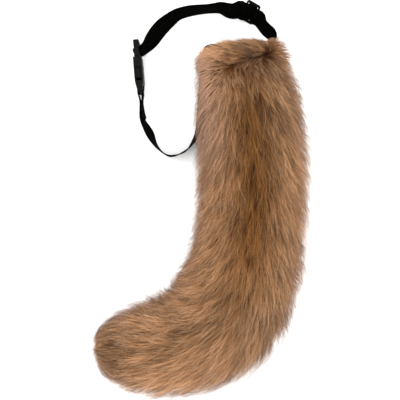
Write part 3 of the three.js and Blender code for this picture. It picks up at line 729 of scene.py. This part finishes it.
def makeFurMesh(layer):
    places = seedPlaces(layer["strands"], 0)
    places = places[shownPlace(places[:, 0], places[:, 1])]
    at, angle = places.T
    count = len(at)
    parts = layer["parts"]
    tuft = nearest(tailPoint(at, angle, np.zeros(count)), tuftPoints)
    points, steps, outward = hairPoints(at, angle, tuft, layer)

    # a hair is a ribbon, its width about across the hair and along the surface
    facing = outward + rng.normal(0, vary["facing"], outward.shape)
    across = unit(np.cross(unit(np.gradient(points, axis=1)), facing[:, None, :]))
    taperPower, thinnest = fur["taper"]
    taper = np.clip(1 - steps**taperPower, thinnest, 1)
    halfWidth = layer["width"] / 2 * rng.uniform(*vary["width"], count)[:, None, None] * taper[None, :, None]
    perHair = 2 * parts + 1
    verts = np.empty((count, perHair, 3))
    verts[:, 0 : 2 * parts : 2] = (points - across * halfWidth)[:, :-1]
    verts[:, 1 : 2 * parts : 2] = (points + across * halfWidth)[:, :-1]
    verts[:, -1] = points[:, -1]
    verts[:, :, 2] = np.maximum(verts[:, :, 2], fur["edgeOverFloor"])
    share = np.concatenate([np.repeat(steps[:-1], 2), [1.0]])
    colours = np.ones((count, perHair, 4))
    colours[:, :, :3] = hairColours(at, angle, tuft, share, layer)

    # quads up the hair and a triangle at its tip
    quads = [[2 * k, 2 * k + 1, 2 * k + 3, 2 * k + 2] for k in range(parts - 1)]
    corners = np.concatenate([np.ravel(quads), [2 * parts - 2, 2 * parts - 1, 2 * parts]])
    cornerIndex = (corners[None, :] + (np.arange(count) * perHair)[:, None]).ravel()
    sizes = np.tile([4] * (parts - 1) + [3], count)
    starts = reached(sizes[:-1])

    mesh = bpy.data.meshes.new(layer["name"])
    mesh.vertices.add(count * perHair)
    mesh.vertices.foreach_set("co", verts.ravel())
    mesh.loops.add(len(cornerIndex))
    mesh.loops.foreach_set("vertex_index", cornerIndex.astype(np.int32))
    mesh.polygons.add(len(sizes))
    mesh.polygons.foreach_set("loop_start", starts.astype(np.int32))
    mesh.update(calc_edges=True)
    mesh.shade_smooth()
    tint = mesh.color_attributes.new("hairColour", "FLOAT_COLOR", "POINT")
    tint.data.foreach_set("color", colours.ravel())
    mesh.validate()
    return mesh


def makeFurMaterial():
    sheet = nodeSheet("long pile", fur)
    tint = sheet.add("ShaderNodeAttribute", attribute_name="hairColour")
    sheet.link(tint.outputs["Color"], sheet.shader.inputs["Base Color"])
    return sheet.material


furMaterial = makeFurMaterial()
for values in zip(*furLayers.values()):
    furLayer = dict(zip(furLayers, values))
    layerObject = addObject(furLayer["name"], makeFurMesh(furLayer), furMaterial)
    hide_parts("tail_fur")
    print(furLayer["name"], len(layerObject.data.polygons), "faces")


# belt
belt = {
    "corner": (-0.07313, 0.05289),  # where the loop's table starts
    "loopWidth": 0.175,
    "loopLength": 0.189,
    "width": 0.025,
    "thickness": 0.0014,
    "gap": 0.0003,
    "offFloor": 0.0001,
    "endWidth": 0.092,  # of the tail's sewn end
    "step": 0.0022,  # from one section to the next
    "leastMitre": 0.7,  # at the sharpest bends
    "yarn": 0.0011,  # pitch of the weave
    "weaveDepth": 0.35,
    "colour": linear(2, 2, 1),
    "lit": linear(6, 6, 5),
    "roughness": 0.85,
    "specular": 0.005,
}
# the hardware's bars and slots that the webbing goes round
bars = {
    "femaleBar": 0.002,
    "maleBar": 0.0022,
    "maleBarOffset": 0.0012,
    "maleBarAt": 0.0129,  # from the buckle's end
    "femaleBarAt": 0.0621,
    "plasticWidth": 0.033,
    "sliderBar": 0.0012,
    "sliderSlot": 0.0056,
    "sliderEndBar": 0.0026,
    "buckleTurn": 4.6,
    "maleLean": 6,
    "straightRun": 0.005,
    "flap": 0.017,  # the folded ends of the webbing
    "joinRun": 0.017,
    "spreadRun": 0.012,
    "barRun": 0.016,
    "threadRun": 0.04,
    "stand": 58,  # degrees that the webbing stands in the slider's slots
    "runOn": 0.2 * mm,  # how much further out than the fold the run lies beside the slider
    "runRise": 1.1 * mm,
    "backLayers": 2.1,  # of webbing, from the run to the part that runs back
    "before": 2 * mm,  # clear of the slider
    "after": 4 * mm,
    "clear": 3 * mm,  # of the arcs round the socket's bar
    "clearOther": 4 * mm,
}
femaleBarPlace = (0.012, 0.4315)
sliderPlace = (0.793, 0.953, 150, 36, 5)  # with its heading, lean and lift
# shares of the loop's width and length, the upper edge's lean in degrees, the lift in millimetres
looseSide = [
    (0.018, 0.361, 0, 3.6),
    (0.032, 0.242, 12, 1.5),
    (0.075, 0.156, 21, 0.2),
    (0.114, 0.082, 9, 0),
    (0.171, 0.025, 2, 0),
    (0.235, 0.004, 7, 0),
    (0.329, 0.036, 1, 0),
    (0.386, 0.096, 10, 0),
    (0.426, 0.175, 18, 0),
    (0.438, 0.308, 17, 0.5),
    (0.444, 0.44, 14, 2),
    (0.449, 0.58, 8, 5),
]
# across the sewn end: share of half its width, room to it in millimetres, lean and lift
sewnSide = [
    (-1.03, -10, 4, 7),
    (-0.97, -2.2, 2, 8),
    (-0.84, 0.2, 0, 8.5),
    (-0.4, 0, 0, 9),
    (0.1, 0, 0, 9),
    (0.6, 0, 2, 9),
    (0.74, 0.3, 5, 9),
]
cornerSide = [
    (0.943, 0.751, 10, 8),
    (0.954, 0.779, 18, 6),
    (0.94, 0.811, 25, 4),
    (0.913, 0.839, 26, 3),
    (0.886, 0.874, 24, 3.5),
]
archSide = [
    (0.664, 0.974, 26, 5),
    (0.586, 0.982, 16, 4),
    (0.493, 0.975, 9, 3.5),
    (0.369, 0.963, 14, 3),
    (0.282, 0.941, 18, 3),
    (0.226, 0.907, 27, 3),
    (0.166, 0.86, 35, 3.2),
    (0.121, 0.811, 37, 3.4),
    (0.086, 0.763, 32, 3.6),
    (0.057, 0.727, 20, 3.8),
]
ply = belt["thickness"] + belt["gap"]
aroundBar = belt["gap"] + belt["thickness"] / 2
sliderHalf = bars["sliderBar"] + bars["sliderSlot"] + bars["sliderEndBar"]
upward = np.array([0.0, 0.0, 1.0])


def headingVector(degrees):
    turn = math.radians(degrees)
    return np.array([math.cos(turn), math.sin(turn)])


def onLoop(row):
    x = belt["corner"][0] + row[0] * belt["loopWidth"]
    y = belt["corner"][1] + row[1] * belt["loopLength"]
    return np.array([x, y])


def loopRow(row):
    return (*onLoop(row), row[2], row[3] * mm)


def sewnRow(row):
    heading = tailSections[0][1]
    place = np.array(tailForm["start"]) + headingVector(heading + 90) * row[0] * belt["endWidth"] / 2
    place = place - headingVector(heading) * (aroundBar + row[1] * mm)
    return (*place, row[2], row[3] * mm)


def beltRows():
    # the belt's middle line from the socket's bar to the bar of the buckle's other half
    forward = headingVector(bars["buckleTurn"] - 90)
    side = np.array([-forward[1], forward[0]])
    socketBar = onLoop(femaleBarPlace)
    otherBar = socketBar + forward * (bars["maleBarAt"] - bars["femaleBarAt"]) - side * bars["maleBarOffset"]
    slider = onLoop(sliderPlace)
    heading, sliderLean, sliderLift = sliderPlace[2:]
    sliderWay = headingVector(heading)
    lift = (bars["plasticWidth"] - belt["width"]) / 2
    run = bars["straightRun"]
    rows = [(*(socketBar + forward * reach), 0, lift) for reach in (-run, 0, run)]
    rows += [loopRow(row) for row in looseSide]
    sewnFrom = len(rows)
    rows += [sewnRow(row) for row in sewnSide]
    rows += [loopRow(row) for row in cornerSide]
    reaches = (-sliderHalf - run, -sliderHalf - mm, -sliderHalf / 2, 0, sliderHalf + mm, sliderHalf + run)
    sliderFrom = len(rows)
    rows += [(*(slider + sliderWay * reach), sliderLean, sliderLift * mm) for reach in reaches]
    rows += [loopRow(row) for row in archSide]
    leans = ((run, bars["maleLean"]), (0, 0), (-run, 0))
    rows += [(*(otherBar + side * reach), lean, lift) for reach, lean in leans]
    rows = np.array(rows)
    at = reached(np.hypot(*np.diff(rows[:, :2], axis=0).T))
    places = {
        "start": at[1],
        "end": at[-2],
        "slider": at[sliderFrom + 3],
        "sewn": (at[sewnFrom + 2], at[sewnFrom + 5]),
    }
    return np.column_stack([at, rows]), places


beltTable, beltAt = beltRows()
readBelt = smoothTable(beltTable)


def beltFrame(at):
    # places of the middle line, and its run, width and inward directions there
    nearby = 0.05 * mm
    x, y, lean, lift = readBelt(at).T
    along = readBelt(at + nearby)[:, :2] - readBelt(at - nearby)[:, :2]
    along = unit(np.column_stack([along, np.zeros(len(along))]))
    outward = np.cross(along, upward)
    cosine = np.cos(np.radians(lean))[:, None]
    sine = np.sin(np.radians(lean))[:, None]
    wide = upward * cosine + outward * sine
    inward = upward * sine - outward * cosine
    stand = belt["width"] * cosine[:, 0] + belt["thickness"] * np.abs(sine[:, 0])
    place = np.column_stack([x, y, lift + belt["offFloor"] + stand / 2])
    return place, along, wide, inward


def ramp(at, rows):
    rows = np.array(rows)
    i = np.clip(np.searchsorted(rows[:, 0], at, side="left") - 1, 0, len(rows) - 2)
    t = np.clip((at - rows[i, 0]) / (rows[i + 1, 0] - rows[i, 0]), 0, 1)
    return rows[i, 1] + (rows[i + 1, 1] - rows[i, 1]) * t * t * (3 - 2 * t)


def arcRound(centre, radius, start, end, count):
    # places round a bar, from one angle to another in degrees
    angle = np.radians(np.linspace(start, end, count + 1))
    return np.column_stack([centre + radius * np.cos(angle), radius * np.sin(angle)])


# the webbing's layers beside the bars
femaleRound = bars["femaleBar"] + aroundBar
maleRound = bars["maleBar"] + aroundBar
foldRound = bars["sliderBar"] + aroundBar
runRound = foldRound + ply
flapStart = beltAt["start"] + bars["joinRun"]
flapEnd = flapStart + bars["flap"]
threadEnd = beltAt["slider"] - sliderHalf - bars["before"]
runOn = foldRound + bars["runOn"]
runTop = runOn + bars["runRise"]
backLift = bars["backLayers"] * ply
afterSlider = beltAt["slider"] + sliderHalf + bars["after"]
sliderFlapEnd = afterSlider + bars["flap"]
pairStart = sliderFlapEnd + bars["spreadRun"]
pairEnd = beltAt["end"] - bars["barRun"]
foldRows = [(beltAt["start"], femaleRound), (flapStart, ply / 2), (flapEnd, ply / 2)]
looseRows = [*foldRows, (flapEnd + bars["spreadRun"], 0)]
threadRows = [(beltAt["slider"] - bars["threadRun"], 0), (threadEnd, runOn)]
runRows = [(afterSlider, runTop), (pairStart, -ply / 2), (pairEnd, -ply / 2), (beltAt["end"], -maleRound)]
spreadRows = [
    (afterSlider, backLift),
    (sliderFlapEnd + mm, backLift),
    (pairStart, ply),
    (pairEnd, ply),
    (beltAt["end"], 2 * maleRound),
]


def foldOff(at):
    return ramp(at, foldRows)


def singleOff(at):
    threaded = at > beltAt["slider"] - bars["threadRun"]
    return np.where(threaded, ramp(at, threadRows), -ramp(at, looseRows))


def runOff(at):
    return ramp(at, runRows)


def backOff(at):
    return runOff(at) + ramp(at, spreadRows)


def foldBackOff(at):
    return runOff(at) + ramp(at, spreadRows) / 2


def flatAt(radius, off):
    stand = math.radians(bars["stand"])
    return radius * math.sin(stand) + (off + radius * math.cos(stand)) / math.tan(stand)


def bendFlat(radius, off, most):
    stand = math.radians(bars["stand"])
    at = beltAt["slider"] + flatAt(radius, off)
    return np.array([(at - most * math.cos(stand), off - most * math.sin(stand)), (at + most, off)])


def stretch(start, end, off):
    # even places along a layer, either way
    at = np.linspace(start, end, max(2, int(abs(end - start) / belt["step"])))
    return np.column_stack([at, off(at)])


def webbingWay():
    # places along the belt's line, and how far the webbing lies off it to the loop's side
    start, slider, end = (beltAt[key] for key in ("start", "slider", "end"))
    stand = bars["stand"]
    reach, foldReach, drop = 0.6 * mm, 0.9 * mm, 0.8 * mm  # of the bends beside the slider
    runBend = bendFlat(runRound, runOn, reach)
    mirrored = (runBend * (-1, 1) + (2 * slider, 0))[::-1]
    foldTop = runTop + ply
    foldFlat = slider + flatAt(foldRound, foldTop)
    backTop = runTop + backLift
    return np.concatenate([
        stretch(flapEnd, start + bars["clear"], foldOff),
        arcRound(start, femaleRound, 80, 280, 14),
        stretch(start + bars["clear"], threadEnd - bars["before"], singleOff),
        [(threadEnd, runOn)],
        mirrored,
        arcRound(slider, runRound, 270 - stand, 270 + stand, 12),
        bendFlat(runRound, runTop, reach),
        stretch(afterSlider, end - bars["clearOther"], runOff),
        arcRound(end, maleRound, 265, 455, 14),
        stretch(end - bars["clearOther"], afterSlider, backOff),
        [(foldFlat + foldReach, backTop), (foldFlat - drop, backTop - drop)],
        arcRound(slider, foldRound, 125, 270 + stand, 14),
        bendFlat(foldRound, foldTop, foldReach),
        stretch(afterSlider, sliderFlapEnd, foldBackOff),
    ])


def beltSection():
    # half widths and half thicknesses round the webbing, its edges rounded
    shares = np.array([-0.985, -0.94, -0.8, -0.5, 0, 0.5, 0.8, 0.94, 0.985])
    thick = np.array([0.85, 1, 1, 1, 1, 1, 1, 1, 0.85])
    upper = np.column_stack([shares, thick])
    lower = np.column_stack([shares, -thick])[::-1]
    return np.concatenate([upper, [(1, 0.35), (1, -0.35)], lower, [(-1, -0.35), (-1, 0.35)]])


def makeWebbingMaterial():
    sheet = nodeSheet("black woven webbing", belt)
    waves = []
    for name in ("along", "across"):
        place = sheet.add("ShaderNodeAttribute", attribute_name=name)
        scaled = sheet.maths("MULTIPLY", place.outputs["Fac"], 2 * math.pi / belt["yarn"])
        waves.append(sheet.maths("SINE", scaled))
    weave = sheet.maths("MULTIPLY", *waves)
    height = sheet.maths("MULTIPLY_ADD", weave, belt["weaveDepth"], sheet.noise(Scale=2500))
    sheet.colours(height, (0.2, belt["colour"]), (0.9, belt["lit"]))
    sheet.bump(height, strength=0.6, distance=0.0002)
    return sheet.material


def makeWebbing():
    way = webbingWay()
    place, _, wide, inward = beltFrame(way[:, 0])
    middle = place + inward * way[:, 1:]
    run = unit(np.gradient(middle, axis=0))
    into = unit(np.diff(middle, axis=0, prepend=middle[:1] - run[:1]))
    mitre = np.clip(np.sum(run * into, axis=1), belt["leastMitre"], 1)[:, None]
    thick = unit(np.cross(run, wide)) / mitre
    section = beltSection() * (belt["width"] / 2, belt["thickness"] / 2)
    sections = middle[:, None] + wide[:, None] * section[None, :, :1] + thick[:, None] * section[None, :, 1:]
    length = reached(np.linalg.norm(np.diff(middle, axis=0), axis=1))
    values = {
        "along": np.repeat(length[:, None], len(section), 1),
        "across": np.repeat(section[None, :, 0], len(way), 0),
    }
    return addObject("belt_strap", sweep("belt_strap", sections, values), makeWebbingMaterial())


webbing = makeWebbing()
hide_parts("belt_webbing")
print("belt made", len(webbing.data.polygons), "faces")


# stitching of the belt
thread = {
    "pitch": 0.003,
    "length": 0.0023,
    "radius": 0.00028,
    "inset": 0.0035,  # from the webbing's edges
    "proud": 0.3,  # share of its radius that its middle lies over the webbing
    "grain": 4000,  # scale of the twist, and how strong and deep it is
    "bump": 0.4,
    "depth": 0.0001,
    "colour": linear(8, 8, 8),
    "roughness": 0.6,
    "specular": 0.03,
}


def seamPlaces(corners):
    # even places along a line of corners, each (place along the belt, place across it)
    corners = np.array(corners, float)
    reach = reached(np.hypot(*np.diff(corners, axis=0).T))
    steps = np.arange(thread["pitch"] / 2, reach[-1], thread["pitch"])
    nearby = mm / 10

    def placeAt(steps):
        return [np.interp(steps, reach, corners[:, k]) for k in (0, 1)]

    at, across = placeAt(steps)
    more, less = placeAt(steps + nearby), placeAt(steps - nearby)
    return at, across, np.arctan2(more[1] - less[1], more[0] - less[0])


def addSeam(bm, corners, off, side):
    # stitches on a layer's face: side is 1 on the loop's side and -1 outside
    at, across, turn = seamPlaces(corners)
    place, along, wide, inward = beltFrame(at)
    high = off(at) + side * (belt["thickness"] / 2 + thread["radius"] * thread["proud"])
    place = place + inward * high[:, None] + wide * across[:, None]
    ahead = along * np.cos(turn)[:, None] + wide * np.sin(turn)[:, None]
    for where, run, out in zip(place, ahead, inward * side):
        turned = Matrix([run, np.cross(out, run), out]).transposed().to_4x4()
        size = Matrix.Diagonal((thread["length"] / 2, thread["radius"], thread["radius"], 1))
        matrix = Matrix.Translation(where) @ turned @ size
        bmesh.ops.create_uvsphere(bm, u_segments=6, v_segments=4, radius=1, matrix=matrix)


def boxSeam(start, end):
    # a box with a cross in it
    side = belt["width"] / 2 - thread["inset"]
    ring = [(start, -side), (end, -side), (end, side), (start, side), (start, -side)]
    return [ring, [(start, -side), (end, side)], [(start, side), (end, -side)]]


def makeStitches():
    bm = bmesh.new()
    inset = thread["inset"]
    for corners in boxSeam(flapStart + inset / 2, flapEnd - inset / 2):
        addSeam(bm, corners, foldOff, 1)
        addSeam(bm, corners, lambda at: -ramp(at, looseRows), -1)
    for corners in boxSeam(afterSlider + inset, sliderFlapEnd - inset / 2):
        addSeam(bm, corners, backOff, 1)
    edge = belt["width"] / 2 - inset
    for across in (-edge, edge):
        addSeam(bm, [(beltAt["sewn"][0], across), (beltAt["sewn"][1], across)], singleOff, -1)
    material = makeGrained("black sewing thread", thread, thread["colour"])
    return addObject("belt_stitches", finishMesh(bm, "belt_stitches"), material)


stitches = makeStitches()
print("stitches made", len(stitches.data.polygons), "faces")


# buckle and slider
plasticLook = {
    "sameCorner": 2e-6,  # metres between corners that are merged
    "flat": 1,  # degrees between faces that are made one
    "edge": 0.00022,  # of the moulded rounding
    "sharp": 35,  # degrees between faces that get it
    "grain": 1800,
    "bump": 0.25,
    "depth": 0.00004,
    "roughness": 0.42,
    "specular": 0.035,
}
plastics = {
    "buckle_male": {"colour": linear(11, 12, 9), "slot": "buckle_prongs"},
    "buckle_female": {"colour": linear(11, 12, 9), "slot": "buckle_socket"},
    "slider": {"colour": linear(11, 11, 10), "slot": "slider"},
}


def makeMoulded(node, colour):
    bm = bmesh.new()
    bm.from_mesh(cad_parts[node].data)
    bmesh.ops.remove_doubles(bm, verts=bm.verts[:], dist=plasticLook["sameCorner"])
    flat = math.radians(plasticLook["flat"])
    bmesh.ops.dissolve_limit(bm, angle_limit=flat, verts=bm.verts[:], edges=bm.edges[:])
    limit = math.radians(plasticLook["sharp"])
    sharp = [edge for edge in bm.edges if len(edge.link_faces) == 2 and edge.calc_face_angle() > limit]
    rounding = {"offset": plasticLook["edge"], "segments": 2, "profile": 0.5, "clamp_overlap": True}
    bmesh.ops.bevel(bm, geom=sharp, affect="EDGES", material=-1, **rounding)
    mesh = finishMesh(bm, node + "_moulded")
    mesh.set_sharp_from_angle(angle=limit)
    material = makeGrained("moulded plastic of " + node.replace("_", " "), plasticLook, colour)
    obj = addObject(node + "_moulded", mesh, material)
    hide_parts(node)
    return obj


for node, choice in plastics.items():
    moulded = makeMoulded(node, choice["colour"])
    print(node, len(moulded.data.polygons), "faces")


# floor, light and camera
stageLook = {
    "aim": (0.00312, -0.00149),  # under the middle of the picture
    "focusHeight": 0.015,
    "distance": 1.0,
    "seen": 0.5,  # metres across the picture at the focus height
    "floor": 3.0,
    "floorDrop": 0.0002,
    "paper": (0.92, 0.92, 0.92, 1),
    "roughness": 1.0,
    "specular": 0.0,
    "skyStrength": 1.9,
    "lampAim": (0, 0, 0.03),
}
# the lamps' names, places, sizes and powers
lamps = [
    ("key", (-0.35, 0.45, 1.4), 0.8, 7.0),
    ("fill", (0.6, -0.3, 1.3), 1.2, 4.0),
]


def makeStage():
    floorMesh = bpy.data.meshes.new("floor")
    bm = bmesh.new()
    bmesh.ops.create_grid(bm, x_segments=1, y_segments=1, size=stageLook["floor"])
    bm.to_mesh(floorMesh)
    bm.free()
    floor = newObject("floor", floorMesh)
    floorMesh.materials.append(nodeSheet("pale floor", stageLook, stageLook["paper"]).material)
    floor.location.z = -stageLook["floorDrop"]

    world = bpy.data.worlds.new("studio")
    bpy.context.scene.world = world
    world.use_nodes = True
    sky = world.node_tree.nodes["Background"]
    sky.inputs["Color"].default_value = (1, 1, 1, 1)
    sky.inputs["Strength"].default_value = stageLook["skyStrength"]

    for name, place, size, power in lamps:
        light = bpy.data.lights.new(name, "AREA")
        light.size = size
        light.energy = power
        lamp = newObject(name, light)
        lamp.location = place
        way = Vector(place) - Vector(stageLook["lampAim"])
        lamp.rotation_euler = way.to_track_quat("Z", "Y").to_euler()

    camera = bpy.data.cameras.new("camera")
    camera.sensor_width = 36
    camera.lens = camera.sensor_width * stageLook["distance"] / stageLook["seen"]
    holder = newObject("camera", camera)
    holder.location = (*stageLook["aim"], stageLook["distance"] + stageLook["focusHeight"])
    bpy.context.scene.camera = holder
    bpy.context.scene.view_settings.view_transform = "Standard"


makeStage()
print("stage set")
